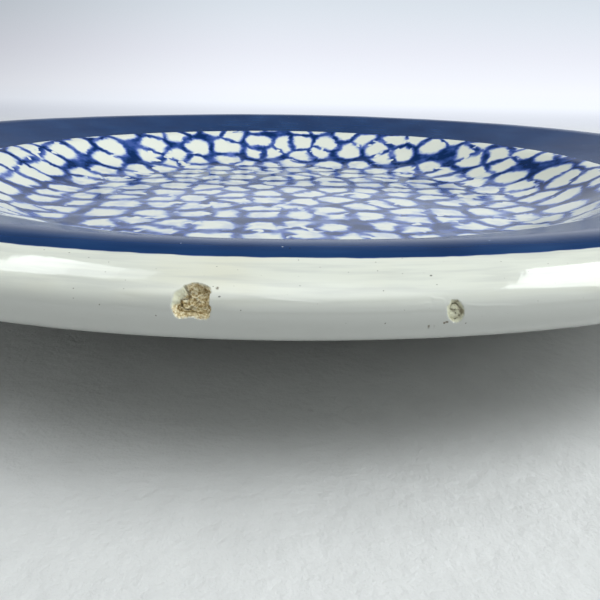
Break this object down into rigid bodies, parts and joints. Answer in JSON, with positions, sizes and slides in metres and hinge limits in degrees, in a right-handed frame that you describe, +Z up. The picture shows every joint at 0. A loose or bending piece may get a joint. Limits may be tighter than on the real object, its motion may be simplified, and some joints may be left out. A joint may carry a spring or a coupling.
{
  "type": "ceramic plate",
  "caption": "Round shallow hand painted ceramic plate with a thick rolled rim, a cobalt band round the rim, a cobalt net pattern in the well, and a low foot ring to stand on.",
  "frame": {"origin": "centre of the foot ring's underside, on the surface that the plate stands on", "axes": "+Z up along the plate's axis, +Y away from the chipped side of the rim, +X to the right when looking along +Y"},
  "size_m": [0.2698, 0.2698, 0.03],
  "materials": {
    "biscuit_clay": "unglazed, porous",
    "white_slip": "matt where it is broken open",
    "net_glaze": "gloss, white with a hand painted cobalt net",
    "cobalt_glaze": "gloss, hand painted cobalt",
    "white_glaze": "gloss"
  },
  "bodies": {
    "root": {"clay_body": "biscuit_clay", "foot_ring": "biscuit_clay", "white_slip": "white_slip", "painted_well": "net_glaze", "cobalt_band": "cobalt_glaze", "outer_glaze": "white_glaze", "foot_glaze": "white_glaze"}
  },
  "joints": []
}
